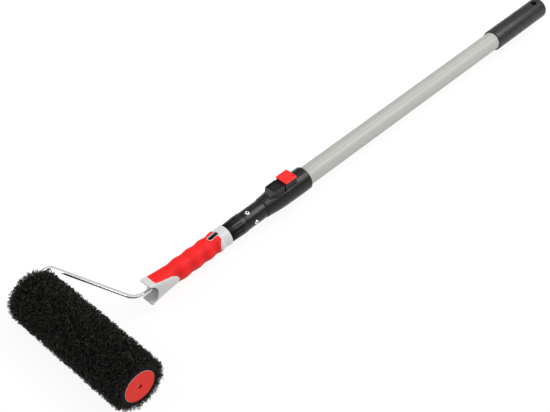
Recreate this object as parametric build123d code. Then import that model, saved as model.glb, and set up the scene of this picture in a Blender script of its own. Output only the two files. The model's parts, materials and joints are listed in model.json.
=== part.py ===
from build123d import *
import os

# Paint roller on a telescopic pole.
# X runs along the pole from the roller to the grip, Y along the roller's axle, Z is up.
# Stations along X are counted from the roller's axle, and heights from the pole's axis.
# All sizes are millimetres.

# ---- Roller cover ----
cover_length = 250.0            # between the outer faces of the two end caps
pile_depth = 15.2               # from the core tube to the tips of the pile
pile_end_stand = 5.0            # how far the pile stands proud of each cap
pile_end_round = 10.0           # outer rounding of the pile at each end
pile_end_slope = 5.0            # inward slope of the pile's end, down to the cap's rim
core_radius = 26.1              # outside of the core tube
core_wall = 2.1
cap_thickness = 2.2
cap_edge_round = 0.5
cap_hole_gap = 0.5              # radial, between the wire and the hole in the cap
cap_spigot_length = 2.6
cap_spigot_wall = 1.6
bearing_length = 15.0
bearing_rim_wall = 2.0
bearing_hub_wall = 3.0
bearing_web = 2.4
bearing_rib_count = 6
bearing_rib_width = 1.6
bearing_rib_sink = 0.5          # how far a rib runs into the hub and the rim

# ---- Wire frame ----
wire_radius = 3.5
wire_running_gap = 0.06         # radial, between the wire and the bearings
wire_side_reach = 23.0          # from the far cap to the wire's outer leg, along Y
wire_pile_clearance = 5.7       # between the pile and the wire that passes it
wire_slant_length = 49.5        # from the far bend to the elbow on the pole's axis, along X
bend_radius_axle = 12.0
bend_radius_shoulder = 10.0
bend_radius_elbow = 22.0
wire_grip_depth = 66.0          # length of wire held in the handle, from its boss
wire_end_inset = 2.4            # from the near cap's outer face to the wire's end
wire_end_chamfer = 0.6
axial_play = 0.5                # between the roller and its two stops
stop_width = 4.0
stop_wall = 2.1
stop_chamfer = 0.5
nut_wall = 3.0
nut_thickness = 0.7
nut_dish = 0.5
nut_slit_count = 3
nut_slit_length = 1.8
nut_slit_width = 0.8

# ---- Handle ----
handle_lead = 18.0              # from the wire's elbow to the front of the lips
handle_length = 162.0
mouth_width = 26.4
mouth_height = 41.0
mouth_corner = 3.0
lip_corner = 5.0                # rounding of the lips' four corners, seen from above
mouth_wall = 2.6
mouth_bite_depth = 14.0         # how far the sides are cut back behind the lips
pocket_depth = 32.0
pocket_front_corner = 2.0
pocket_middle_corner = 5.0
pocket_rear_corner = 8.0
pocket_middle_loss = 6.0        # how much lower the pocket is halfway in
boss_wall = 2.7
boss_length = 13.0
round_start = 50.0              # from the lips to where the handle becomes round
flare_front_share = 0.3         # of the flare, where its front control section is
flare_front_widening = 1.0
flare_front_lowering = 4.6
flare_front_corner = 7.0
flare_rear_share = 0.62         # of the flare, where its rear control section is
flare_rear_widening = 4.2
flare_rear_lowering = 7.0
flare_rear_corner = 12.0
grip_over_cone = 0.2            # mean radius of the rippled sleeve over the cone's shoulder
ripple_height = 0.7             # above and below the mean
ripple_count = 4
ripple_lead = 5.5               # from the round's start to the first valley
ripple_tail = 2.65              # from the last crest to the collar's neck
sleeve_thickness = 1.2
sleeve_front = 12.0             # from the lips to the front edge of the sleeve
collar_over_cone = 0.5          # collar's rim over the cone's shoulder
collar_flare = 0.8              # rim over neck
collar_length = 18.6
collar_flare_length = 14.6
handle_cavity_radius = 11.0
cavity_wall = 3.0               # between the wire's end and the hollow behind it
wedge_length = 53.0             # from the lips to the tip of the bare side wedge
wedge_root_height = 18.5        # half height of the wedge at the sleeve's front edge
wedge_middle_height = 12.8
wedge_neck_height = 11.6
wedge_tip_height = 4.0
bay_depth = 5.6                 # how far the bare rear bay reaches into the sleeve
bay_half_height = 12.5
slot_length = 20.0              # hanging slot
slot_width = 7.8
slot_border = 0.8
slot_rear_margin = 15.0         # from the slot's rear end to the handle's rear end

# ---- Nose cone and stem ----
cone_taper = 3.3                # shoulder radius less tip radius
cone_edge = 1.0                 # chamfer of the tip and of the shoulder ring
cone_inside = 38.0              # length of cone inside the handle
cone_visible = 37.0             # from the handle to the end of the shoulder ring
shoulder_width = 9.0
cone_socket_gap = 0.06          # radial, at rest
socket_clearance = 3.0          # between the cone's tip and the socket's floor
cone_wall = 3.0
groove_count = 16
groove_width = 2.0
groove_depth = 1.4
groove_tip_margin = 3.0
groove_shoulder_margin = 1.5
spigot_length = 30.0            # part of the cone held inside the inner tube
tube_seat = 3.0                 # from the stem's front to the inner tube's front
stem_length = 41.0
stem_wall = 1.4
stem_step = 0.8                 # shoulder radius less stem radius
stem_chamfer = 0.5
rivet_head_radius = 3.75
rivet_head_height = 0.8
rivet_head_slope = 0.5
rivet_shank_radius = 2.0
rivet_hole_radius = 1.5
rivet_hole_depth = 2.5
rivet_foot = 0.8                # of the shank, past the cone's spigot
rivet_upright_station = 9.5     # from the stem's front
rivet_upright_turn = 8.0        # degrees from the top
rivet_level_station = 15.7
rivet_level_turn = 90.0

# ---- Telescopic tubes ----
tube_radius = 16.5
tube_wall = 1.2
tube_running_gap = 0.8          # radial, between the outer and the inner tube
inner_tube_wall = 1.2
glide_gap = 0.06                # radial, between the rear glide and the outer tube
bush_gap = 0.06                 # radial, between the guide bush and the inner tube
flute_angle = 26.0              # degrees from the top, towards the near side
flute_radius = 2.2
flute_depth = 0.6
flute_key_gap = 0.3
outer_tube_length = 627.0
tube_end_gap = 22.0             # from the inner tube's rear to the outer tube's rear
glide_length = 14.0
glide_flange = 2.0

# ---- Lock housing ----
stem_gap = 2.0                  # between the stem and the housing, at rest
housing_length = 96.0
housing_nose_wall = 0.2         # over the outer tube's radius
housing_waist_wall = 2.2        # a fifth of the way back
housing_body_wall = 3.9
housing_waist_share = 0.2       # of the length, where the waist is
housing_front_share = 0.4       # where the full body starts
housing_rear_share = 0.8        # where the full body ends
housing_edge = 0.5
housing_rear_edge = 1.0
housing_socket_length = 19.0    # length of the outer tube held in the housing
bore_gap = 0.3                  # radial, between the housing and the inner tube
bush_length = 15.0
bush_wall = 1.0
bush_flange_gap = 0.4           # between the bush's flange and the stem, at rest
saddle_height = 0.9             # raised strip behind the button
saddle_half_width = 7.0
saddle_rear_margin = 1.5
block_front = 11.0              # from the housing's front to the foot of the block
block_lean = 8.8                # how far the block's front face leans back
block_length = 57.5
chamber_headroom = 7.5          # from the lever's top to the block's top
block_half_width = 11.0
block_nose_half_width = 5.0
block_facet = 7.0               # length of the corner facets at the block's foot
block_wall = 2.5
block_roof = 3.4
chamber_end_gap = 2.0           # between the lever's ends and the chamber's
chamber_foot_share = 0.7        # of the inner tube's radius, where the chamber starts
edge_round = 0.8
block_foot_round = 4.0          # blends the block into the housing
slit_width = 3.2
slit_depth = 1.8
slit_height = 13.7
cover_inset = 0.6               # of the latch cover below the block's top
latch_cover_length = 19.2
latch_cover_width = 15.0
latch_cover_thickness = 1.6
latch_cover_ledge = 1.8
latch_cover_gap = 0.5
latch_cover_margin = 0.2        # from the cover's rear to the slit
cover_rib_count = 4
cover_rib_height = 0.8
cover_rib_margin = 0.8
screw_head_radius = 2.9
screw_head_height = 1.8
screw_seat_wall = 1.6           # of housing left between the screw's head and the tube
screw_recess_radius = 1.3
screw_recess_depth = 1.1
screw_shank_radius = 1.5

# ---- Button, lever, spring and brake pad ----
button_length = 24.4
button_width = 24.0
button_cap_thickness = 2.2
button_cap_lift = 1.5           # of the cap's underside above the block's top
button_corner = 1.8
button_edge = 0.6
button_travel = 1.8
button_clearance = 0.4          # left under the cap when it is pressed
button_guide_gap = 0.3
button_stem_length = 16.0
button_stem_width = 14.4
button_nose_radius = 2.0
button_dish = 0.5
button_dish_margin = 2.0
button_skirt_overlap = 1.0      # of the skirt and the housing when it is released
lever_thickness = 2.2
lever_edge_round = 0.7
lever_half_width = 5.0
lever_rest_height = 2.5         # of the lever's underside above the inner tube
lever_front_arm = 16.0
lever_press_arm = 16.0
press_offset = 0.6              # of the pressed spot behind the button's middle
lever_rear_arm = 19.0
lever_hub_radius = 2.7
pin_radius = 1.5
pin_end_cover = 1.0             # of housing left over each end of the pin
pin_running_gap = 0.05
pad_length = 10.0
pad_half_width = 4.5
pad_front_margin = 1.0
pad_foot_share = 0.8            # of the inner tube's radius, where the pad's edges end
pad_gap = 0.1
press_gap = 0.15                # between the button's nose and the lever
spring_radius = 2.6             # to the middle of the spring wire
spring_wire_radius = 0.35
spring_turns = 4.0
spring_arm = 11.0               # from the pivot to the spring

# ---- Pole grip ----
pole_grip_length = 143.0
pole_grip_wall = 2.8
pole_grip_end_wall = 34.0       # solid length behind the tube's end
pole_grip_end_round = 4.0
pole_grip_lip = 1.0
hang_hole_radius = 6.0
hang_hole_margin = 19.0         # from the grip's end to the hole

# ---- Stations and radii that follow from the sizes above ----
half_cover = cover_length / 2
pile_radius = core_radius + pile_depth
core_bore = core_radius - core_wall
cap_hole_radius = wire_radius + cap_hole_gap
cap_inner_face = half_cover - cap_thickness
bearing_outer_face = cap_inner_face - cap_spigot_length
wire_far_reach = half_cover + wire_side_reach
wire_shoulder = pile_radius + wire_pile_clearance + wire_radius
wire_elbow = wire_shoulder + wire_slant_length
stop_radius = wire_radius + stop_wall
nut_radius = wire_radius + nut_wall
inner_radius = tube_radius - tube_wall - tube_running_gap
inner_bore = inner_radius - inner_tube_wall
stem_radius = inner_radius + stem_wall
cone_shoulder_radius = stem_radius + stem_step
cone_tip_radius = cone_shoulder_radius - cone_taper
grip_radius = cone_shoulder_radius + grip_over_cone
collar_radius = cone_shoulder_radius + collar_over_cone
collar_neck_radius = collar_radius - collar_flare
boss_radius = wire_radius + boss_wall
handle_front = wire_elbow + handle_lead
handle_rear = handle_front + handle_length
boss_front = handle_front + pocket_depth - boss_length
wire_inner_end = boss_front + wire_grip_depth
cone_tip = handle_rear - cone_inside
stem_front = handle_rear + cone_visible
stem_rear = stem_front + stem_length
housing_front = stem_rear + stem_gap
housing_rear = housing_front + housing_length
outer_tube_front = housing_rear - housing_socket_length
outer_tube_rear = outer_tube_front + outer_tube_length
grip_rear = outer_tube_rear + pole_grip_end_wall
grip_front = grip_rear - pole_grip_length
pole_grip_radius = tube_radius + pole_grip_wall
inner_tube_front = stem_front + tube_seat
inner_tube_rear = outer_tube_rear - tube_end_gap
housing_nose_radius = tube_radius + housing_nose_wall
housing_waist_radius = tube_radius + housing_waist_wall
housing_body_radius = tube_radius + housing_body_wall
bush_bore = inner_radius + bush_gap
bush_radius = bush_bore + bush_wall
bush_flange_radius = bush_radius - bush_gap
block_foot = housing_front + block_front
block_crest = block_foot + block_lean
block_rear = block_foot + block_length
button_rear = block_rear
button_front = button_rear - button_length
button_middle = (button_front + button_rear) / 2
lever_underside = inner_radius + lever_rest_height
lever_top = lever_underside + lever_thickness
block_top = lever_top + chamber_headroom
cap_underside = block_top + button_cap_lift
button_seat = cap_underside - button_travel - button_clearance
cover_rear = button_front - slit_width - latch_cover_margin
cover_front = cover_rear - latch_cover_length
cover_top = block_top - cover_inset
cover_underside = cover_top - latch_cover_thickness
press_station = button_middle + press_offset
pivot_station = press_station - lever_press_arm
pivot_height = lever_underside + lever_thickness / 2
pin_reach = block_half_width - pin_end_cover
screw_station = (outer_tube_front + housing_rear) / 2
screw_head_seat = tube_radius + screw_seat_wall

# The row's origin: under the middle of the whole tool, on the plane the roller rests on.
x_low = -pile_radius
y_low = -half_cover - pile_end_stand
y_high = wire_far_reach + wire_radius
origin = Vector((x_low + grip_rear) / 2, (y_low + y_high) / 2, -pile_radius)


# ---- Small helpers ----
cut_margin = 0.1                # how far a cutter runs past the face it opens
cut_reach = 5.0                 # how far a side cutter runs past the outside
FROM_FOOT = (Align.CENTER, Align.CENTER, Align.MIN)


def rod_x(radius, start, end):
    return Pos((start + end) / 2, 0, 0) * Rot(0, 90, 0) * Cylinder(radius, end - start)


def rod_y(radius, start, end):
    return Pos(0, (start + end) / 2, 0) * Rot(90, 0, 0) * Cylinder(radius, end - start)


def box(x_start, x_end, half_width, z_start, z_end):
    size = (x_end - x_start, 2 * half_width, z_end - z_start)
    return Pos((x_start + x_end) / 2, 0, (z_start + z_end) / 2) * Box(*size)


def lathe_x(outline):
    """Turn an outline of (station, radius) points about the pole's axis."""
    return revolve(make_face(Polyline(*outline, close=True)), Axis.X)


def lathe_y(outline):
    """Turn an outline of (radius, distance) points about the roller's axle."""
    return revolve(make_face(Polyline(*outline, close=True)), Axis.Y)


def side_prism(outline, half_width):
    """Extrude an outline of (station, height) points to both sides of the middle plane."""
    face = Plane.XZ * make_face(Polyline(*outline, close=True))
    return extrude(face, amount=half_width, both=True)


def upright(x, solid):
    return Pos(x, 0, 0) * solid


def around_x(solid, degrees_from_top):
    """Turn a solid about the pole's axis, from the top towards the near side."""
    return Rot(degrees_from_top, 0, 0) * solid


# ---- Roller cover ----
def make_roller_pile():
    end = half_cover + pile_end_stand
    blank = rod_y(pile_radius, -end, end)
    rims = blank.edges().filter_by(GeomType.CIRCLE)
    pile = fillet(rims, pile_end_round) - rod_y(core_radius, -end, end)
    for side in (-1, 1):
        recess = lathe_y([
            (0, side * half_cover),
            (core_radius, side * half_cover),
            (core_radius + pile_end_slope, side * (end + cut_margin)),
            (0, side * (end + cut_margin)),
        ])
        pile -= recess
    return pile


def make_roller_core():
    return rod_y(core_radius, -cap_inner_face, cap_inner_face) - rod_y(core_bore, -half_cover, half_cover)


def make_end_cap(side):
    spigot_bore = core_bore - cap_spigot_wall
    outline = [
        (cap_hole_radius, half_cover),
        (core_radius - cap_edge_round, half_cover),
        (core_radius, half_cover - cap_edge_round),
        (core_radius, cap_inner_face),
        (core_bore, cap_inner_face),
        (core_bore, bearing_outer_face),
        (spigot_bore, bearing_outer_face),
        (spigot_bore, cap_inner_face),
        (cap_hole_radius, cap_inner_face),
    ]
    return lathe_y([(radius, side * distance) for radius, distance in outline])


def make_bearing(side):
    bore = wire_radius + wire_running_gap
    inner_face = bearing_outer_face - bearing_length
    hub = rod_y(bore + bearing_hub_wall, inner_face, bearing_outer_face)
    rim = rod_y(core_bore, inner_face, bearing_outer_face)
    rim -= rod_y(core_bore - bearing_rim_wall, inner_face, bearing_outer_face)
    web = rod_y(core_bore, inner_face, inner_face + bearing_web)
    plug = hub + rim + web
    rib_middle = (bore + core_bore) / 2
    for index in range(bearing_rib_count):
        rib = Box(core_bore - bore - 2 * bearing_rib_sink, bearing_length, bearing_rib_width)
        rib = Pos(rib_middle, inner_face + bearing_length / 2, 0) * rib
        plug += Rot(0, index * 360 / bearing_rib_count, 0) * rib
    plug -= rod_y(bore, inner_face - 1, bearing_outer_face + 1)
    return plug if side > 0 else mirror(plug, Plane.XZ)


# ---- Wire frame ----
def make_frame_wire():
    near_end = wire_end_inset - half_cover
    corners = [
        (0, near_end, 0),
        (0, wire_far_reach, 0),
        (wire_shoulder, wire_far_reach, 0),
        (wire_elbow, 0, 0),
        (wire_inner_end, 0, 0),
    ]
    bends = [bend_radius_axle, bend_radius_shoulder, bend_radius_elbow]
    path = FilletPolyline(*corners, radius=bends)
    start = Plane(origin=corners[0], z_dir=(0, 1, 0))
    wire = sweep(start * Circle(wire_radius), path=path)
    tip = wire.edges().filter_by(GeomType.CIRCLE).sort_by(Axis.Y)[0]
    return chamfer(tip, wire_end_chamfer)


def make_far_stop():
    start = half_cover + axial_play
    collar = rod_y(stop_radius, start, start + stop_width)
    collar = chamfer(collar.edges().filter_by(GeomType.CIRCLE), stop_chamfer)
    return collar - rod_y(wire_radius, start - 1, start + stop_width + 1)


def make_push_nut():
    face = -(bearing_outer_face + axial_play)
    outline = [
        (wire_radius, face - nut_dish),
        (nut_radius, face),
        (nut_radius, face - nut_thickness),
        (wire_radius, face - nut_dish - nut_thickness),
    ]
    nut = lathe_y(outline)
    slit_depth_along = 2 * (nut_thickness + nut_dish) + 0.6
    slit = Box(2 * nut_slit_length, slit_depth_along, nut_slit_width)
    for index in range(nut_slit_count):
        nut -= Rot(0, index * 360 / nut_slit_count, 0) * Pos(wire_radius, face, 0) * slit
    return nut


# ---- Handle ----
def across_x(station):
    """The plane across the pole's axis at a station."""
    return Plane(origin=(station, 0, 0), x_dir=(0, 1, 0), z_dir=(1, 0, 0))


def handle_section(station, width, height, corner):
    return across_x(station) * RectangleRounded(width, height, corner)


def handle_form(inset):
    """The handle's outside, or the same form drawn in by an inset."""
    width = mouth_width - 2 * inset
    height = mouth_height - 2 * inset
    waist_radius = grip_radius - ripple_height - inset
    round_station = handle_front + round_start
    front_section = handle_section(
        handle_front + flare_front_share * round_start,
        width + flare_front_widening,
        height - flare_front_lowering,
        flare_front_corner,
    )
    rear_section = handle_section(
        handle_front + flare_rear_share * round_start,
        width + flare_rear_widening,
        height - flare_rear_lowering,
        flare_rear_corner,
    )
    flare = loft([
        handle_section(handle_front, width, height, mouth_corner),
        front_section,
        rear_section,
        across_x(round_station) * Circle(waist_radius),
    ])
    neck = (handle_rear - collar_flare_length, collar_neck_radius - inset)
    first_valley = round_station + ripple_lead
    half_wave = (neck[0] - ripple_tail - first_valley) / (2 * ripple_count - 1)
    crest_points = []
    for index in range(2 * ripple_count):
        sign = 1 if index % 2 else -1
        crest_points.append((first_valley + index * half_wave, grip_radius - inset + sign * ripple_height))
    outline = Spline((round_station, waist_radius), *crest_points, neck)
    rear_edge = (handle_rear, collar_radius - inset)
    close = Polyline(neck, rear_edge, (handle_rear, 0), (round_station, 0), (round_station, waist_radius))
    return flare + revolve(make_face(outline + close), Axis.X)


def hanging_slot(border):
    """A slot cutter through top and bottom, widened by a border."""
    middle = handle_rear - slot_rear_margin - slot_length / 2
    face = SlotOverall(slot_length + 2 * border, slot_width + 2 * border)
    return Pos(middle, 0, 0) * extrude(face, amount=collar_radius + cut_reach, both=True)


def bare_sides():
    """Where the hard body stays uncovered at the sides: a front wedge and a rear bay."""
    tip = handle_front + wedge_length
    band = handle_front + sleeve_front
    long_side = tip - band
    front_half = [
        (band - 1.0, grip_radius + cut_reach),
        (band - 1.0, wedge_root_height),
        (band + 0.2 * long_side, (wedge_root_height + wedge_middle_height) / 2),
        (band + 0.54 * long_side, wedge_middle_height),
        (band + 0.71 * long_side, wedge_neck_height),
        (tip - wedge_tip_height, (wedge_neck_height + wedge_tip_height) / 2),
        (tip - 0.3 * wedge_tip_height, wedge_tip_height),
        (tip, 0.0),
    ]
    lower_half = [(x, -z) for x, z in reversed(front_half[:-1])]
    front = side_prism(front_half + lower_half, collar_radius + cut_reach)
    bay = handle_rear - collar_length
    bay_face = Ellipse(bay_depth, bay_half_height)
    rear = Rot(90, 0, 0) * extrude(bay_face, collar_radius + cut_reach, both=True)
    return front + upright(bay, rear)


def make_grip_sleeve():
    shell = handle_form(0) - handle_form(sleeve_thickness)
    start = handle_front + sleeve_front
    end = handle_rear - collar_length
    shell &= box(start, end, collar_radius + cut_reach, -mouth_height, mouth_height)
    return shell - bare_sides() - hanging_slot(slot_border)


def cone_radius(station):
    reach = cone_inside + cone_visible - shoulder_width
    return cone_tip_radius + (cone_shoulder_radius - cone_tip_radius) * (station - cone_tip) / reach


def lip_corners():
    """Cutters that round the corners of the lips, seen from above."""
    front = handle_front - cut_reach
    corner_middle = handle_front + lip_corner
    flat_half_width = mouth_width / 2 - lip_corner
    cutter = box(front, corner_middle, mouth_width, -mouth_height, mouth_height)
    cutter -= box(front, corner_middle, flat_half_width, -mouth_height, mouth_height)
    for side in (-1, 1):
        cutter -= Pos(corner_middle, side * flat_half_width, 0) * Cylinder(lip_corner, 2 * mouth_height)
    return cutter


def make_handle_body(sleeve):
    body = handle_form(0) - sleeve - lip_corners()
    inner_width = mouth_width - 2 * mouth_wall
    inner_height = mouth_height - 2 * mouth_wall
    pocket = loft([
        handle_section(handle_front - cut_margin, inner_width, inner_height, pocket_front_corner),
        handle_section(handle_front + pocket_depth / 2, inner_width, inner_height - pocket_middle_loss,
                       pocket_middle_corner),
        handle_section(handle_front + pocket_depth, inner_width, inner_width, pocket_rear_corner),
    ])
    bite_face = Ellipse(mouth_bite_depth, inner_height / 2)
    bite = Rot(90, 0, 0) * extrude(bite_face, mouth_width, both=True)
    body -= pocket
    body -= upright(handle_front, bite)
    body += rod_x(boss_radius, boss_front, handle_front + pocket_depth + 1)
    body -= rod_x(wire_radius, boss_front - 1, wire_inner_end)
    cavity_front = wire_inner_end + cavity_wall
    socket_front = cone_tip - socket_clearance
    body -= rod_x(handle_cavity_radius, cavity_front, socket_front + 1)
    body -= lathe_x([
        (socket_front, 0),
        (socket_front, cone_radius(socket_front) + cone_socket_gap),
        (handle_rear + 1, cone_radius(handle_rear + 1) + cone_socket_gap),
        (handle_rear + 1, 0),
    ])
    return body - hanging_slot(0)


# ---- Nose cone, stem sleeve and rivets ----
def cone_groove():
    start = cone_tip + groove_tip_margin
    end = stem_front - shoulder_width - groove_shoulder_margin
    floor_start = cone_radius(start) - groove_depth
    floor_end = cone_radius(end) - groove_depth
    top = cone_shoulder_radius + cut_reach
    groove = side_prism([(start, top), (start, floor_start), (end, floor_end), (end, top)], groove_width / 2)
    tip = Cylinder(groove_width / 2, top - floor_end, align=FROM_FOOT)
    return groove + Pos(end, 0, floor_end) * tip


def rivet_places():
    """Station and turn about the axis of each rivet."""
    places = []
    for half_turn in (0, 180):
        places.append((rivet_upright_station, rivet_upright_turn + half_turn))
        places.append((rivet_level_station, rivet_level_turn + half_turn))
    return places


def rivet_holes():
    cutters = []
    for station, turn in rivet_places():
        shank = Cylinder(rivet_shank_radius, stem_radius + cut_reach, align=FROM_FOOT)
        cutters.append(around_x(upright(stem_front + station, shank), turn))
    return cutters


def make_nose_cone():
    shoulder_start = stem_front - shoulder_width
    spigot_end = stem_front + spigot_length
    cone = lathe_x([
        (cone_tip, 0),
        (cone_tip, cone_tip_radius - cone_edge),
        (cone_tip + cone_edge, cone_radius(cone_tip + cone_edge)),
        (shoulder_start, cone_shoulder_radius),
        (stem_front - cone_edge, cone_shoulder_radius),
        (stem_front, stem_radius - 0.3 * cone_edge),
        (stem_front, inner_radius),
        (inner_tube_front, inner_radius),
        (inner_tube_front, inner_bore),
        (spigot_end, inner_bore),
        (spigot_end, inner_bore - cone_wall),
        (cone_tip + cone_wall, inner_bore - cone_wall),
        (cone_tip + cone_wall, 0),
    ])
    groove = cone_groove()
    for index in range(groove_count):
        cone -= around_x(groove, (index + 0.5) * 360 / groove_count)
    return cone - rivet_holes()


def make_stem_sleeve():
    sleeve = rod_x(stem_radius, stem_front, stem_rear)
    sleeve = chamfer(sleeve.edges().filter_by(GeomType.CIRCLE), stem_chamfer)
    return sleeve - rod_x(inner_radius, stem_front - 1, stem_rear + 1) - rivet_holes()


def make_stem_rivets():
    foot = inner_bore - cone_wall - rivet_foot
    top = stem_radius + rivet_head_height
    blank = revolve(
        Plane.XZ * make_face(Polyline(
            (0, foot),
            (rivet_shank_radius, foot),
            (rivet_shank_radius, stem_radius),
            (rivet_head_radius, stem_radius - cut_margin),
            (rivet_head_radius - rivet_head_slope, top - rivet_head_slope / 2),
            (rivet_hole_radius + rivet_head_slope, top),
            (rivet_hole_radius, top - rivet_head_slope / 2),
            (rivet_hole_radius, top - rivet_hole_depth),
            (0, top - rivet_hole_depth),
            close=True,
        )),
        Axis.Z,
    )
    seat = rod_x(stem_radius, stem_front, stem_rear)
    shank = Cylinder(rivet_shank_radius, top, align=FROM_FOOT)
    rivets = []
    for station, turn in rivet_places():
        place = stem_front + station
        rivet = upright(place, blank)
        overlap = (rivet & seat) - upright(place, shank)
        rivets.append(around_x(rivet - overlap, turn))
    return Compound(children=rivets)


# ---- Telescopic tubes ----
def fluted_rod(radius, depth, start, end):
    """A rod with a lengthwise flute, for the outside or the inside of a tube."""
    centre_height = radius + flute_radius - depth
    groove = rod_x(flute_radius, start - 1, end + 1).moved(Location((0, 0, centre_height)))
    return rod_x(radius, start, end) - around_x(groove, flute_angle)


def make_outer_tube():
    outside = fluted_rod(tube_radius, flute_depth, outer_tube_front, outer_tube_rear)
    bore_radius = tube_radius - tube_wall
    bore = fluted_rod(bore_radius, flute_depth, outer_tube_front - 1, outer_tube_rear + 1)
    return outside - bore - housing_screw_hole(screw_shank_radius)


def make_inner_tube():
    tube = rod_x(inner_radius, inner_tube_front, inner_tube_rear)
    return tube - rod_x(inner_bore, inner_tube_front - 1, inner_tube_rear + 1) - rivet_holes()


def make_rear_glide():
    ring_radius = tube_radius - tube_wall - glide_gap
    ring_rear = inner_tube_rear + glide_flange
    ring = fluted_rod(ring_radius, flute_depth + flute_key_gap, ring_rear - glide_length, ring_rear)
    ring -= rod_x(inner_radius, ring_rear - glide_length - 1, inner_tube_rear)
    return ring - rod_x(inner_bore, ring_rear - glide_length - 1, ring_rear + 1)


# ---- Lock housing ----
def housing_screw_hole(radius):
    shank = Cylinder(radius, housing_body_radius + 1, align=FROM_FOOT)
    return around_x(upright(screw_station, shank), 180)


def make_housing_screw():
    head = Pos(0, 0, screw_head_seat) * Cylinder(screw_head_radius, screw_head_height, align=FROM_FOOT)
    recess_floor = screw_head_seat + screw_head_height - screw_recess_depth
    recess = Pos(0, 0, recess_floor) * extrude(RegularPolygon(screw_recess_radius, 6), 2 * screw_recess_depth)
    shank_foot = tube_radius - tube_wall
    shank = Cylinder(screw_shank_radius, screw_head_seat - shank_foot, align=FROM_FOOT)
    screw = head + Pos(0, 0, shank_foot) * shank - recess
    return around_x(upright(screw_station, screw), 180)


def housing_block():
    """The raised block, with a leaning front face between two slanted corner facets."""
    block = side_prism([
        (block_foot, inner_radius),
        (block_crest, block_top),
        (block_rear, block_top),
        (block_rear, inner_radius),
    ], block_half_width)
    for side in (-1, 1):
        top_corner = Vector(block_crest, side * block_half_width, block_top)
        nose_corner = Vector(block_foot, side * block_nose_half_width, inner_radius)
        side_corner = Vector(block_crest + block_facet, side * block_half_width, inner_radius)
        outward = (side_corner - top_corner).cross(nose_corner - top_corner) * side
        block = split(block, Plane(origin=top_corner, z_dir=outward), keep=Keep.BOTTOM)
    top_edges = block.edges().filter_by(Plane.XY).group_by(Axis.Z)[-1]
    return fillet(top_edges, edge_round)


def lock_chamber():
    """The space inside the block that holds the lever, open to the bore below."""
    front = pivot_station - lever_front_arm - chamber_end_gap
    rear = pivot_station + lever_rear_arm + chamber_end_gap
    half_width = block_half_width - block_wall
    return box(front, rear, half_width, chamber_foot_share * inner_radius, block_top - block_roof)


def cover_seat():
    """Cutter for the latch cover's seat, with its ledge, and for the window inside the ledge."""
    gap = latch_cover_gap
    ledge = latch_cover_ledge
    half_width = latch_cover_width / 2
    seat = box(cover_front - gap, cover_rear + gap, half_width + gap, cover_underside, block_top + 1)
    window = box(cover_front + ledge, cover_rear - ledge, half_width - ledge, inner_radius, block_top)
    return seat + window


def make_lock_housing():
    shell = lathe_x([
        (housing_front, 0),
        (housing_front, housing_nose_radius - housing_edge),
        (housing_front + housing_edge, housing_nose_radius),
        (housing_front + housing_waist_share * housing_length, housing_waist_radius),
        (housing_front + housing_front_share * housing_length, housing_body_radius - housing_edge),
        (housing_front + housing_rear_share * housing_length, housing_body_radius),
        (housing_rear - housing_rear_edge, housing_body_radius - 0.2 * housing_rear_edge),
        (housing_rear, housing_body_radius - housing_rear_edge),
        (housing_rear, 0),
    ])
    saddle = rod_x(housing_body_radius + saddle_height, block_rear - 1, housing_rear - saddle_rear_margin)
    saddle &= box(block_rear - 1, housing_rear, saddle_half_width, 0, 2 * housing_body_radius)
    block = housing_block()
    joined = shell + block
    foot_edges = new_edges(shell, block, combined=joined)
    foot_edges = foot_edges.filter_by(lambda edge: edge.center().X < block_rear - cut_margin)
    shell = fillet(foot_edges, block_foot_round) + saddle
    shell -= box(button_front, block_rear + 1, block_half_width + 1, button_seat, block_top + 1)
    shell -= rod_x(inner_radius + bore_gap, housing_front - 1, outer_tube_front + 1)
    shell -= rod_x(bush_radius, housing_front - 1, housing_front + bush_length)
    shell -= rod_x(tube_radius, outer_tube_front, housing_rear + 1)
    shell -= lock_chamber()
    shell -= cover_seat()
    stem_front_face = press_station - button_stem_length / 2 - button_guide_gap
    stem_rear_face = press_station + button_stem_length / 2 + button_guide_gap
    stem_half_width = button_stem_width / 2 + button_guide_gap
    shell -= box(stem_front_face, stem_rear_face, stem_half_width, inner_radius, block_top + 1)
    slit = box(button_front - slit_width, button_front, slit_depth, block_top - slit_height, block_top + 1)
    for side in (-1, 1):
        shell -= Pos(0, side * block_half_width, 0) * slit
    shell -= Pos(pivot_station, 0, pivot_height) * rod_y(pin_radius, -pin_reach, pin_reach)
    shell -= housing_screw_hole(screw_shank_radius)
    counterbore = Pos(0, 0, screw_head_seat) * Cylinder(screw_head_radius, housing_body_wall, align=FROM_FOOT)
    return shell - around_x(upright(screw_station, counterbore), 180)


def make_guide_bush():
    flange_front = stem_rear + bush_flange_gap
    bush = rod_x(bush_radius, housing_front, housing_front + bush_length)
    bush += rod_x(bush_flange_radius, flange_front, housing_front)
    return bush - rod_x(bush_bore, flange_front - 1, housing_front + bush_length + 1)


def make_latch_cover():
    plate_top = cover_top - cover_rib_height
    cover = box(cover_front, cover_rear, latch_cover_width / 2, cover_underside, plate_top)
    pitch = (latch_cover_width - 2 * cover_rib_margin) / cover_rib_count
    rib_front = cover_front + cover_rib_margin
    rib_rear = cover_rear - cover_rib_margin
    rib = box(rib_front, rib_rear, pitch / 4, plate_top - cut_margin, cover_top)
    for index in range(cover_rib_count):
        cover += Pos(0, (index - (cover_rib_count - 1) / 2) * pitch, 0) * rib
    return cover


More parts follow.
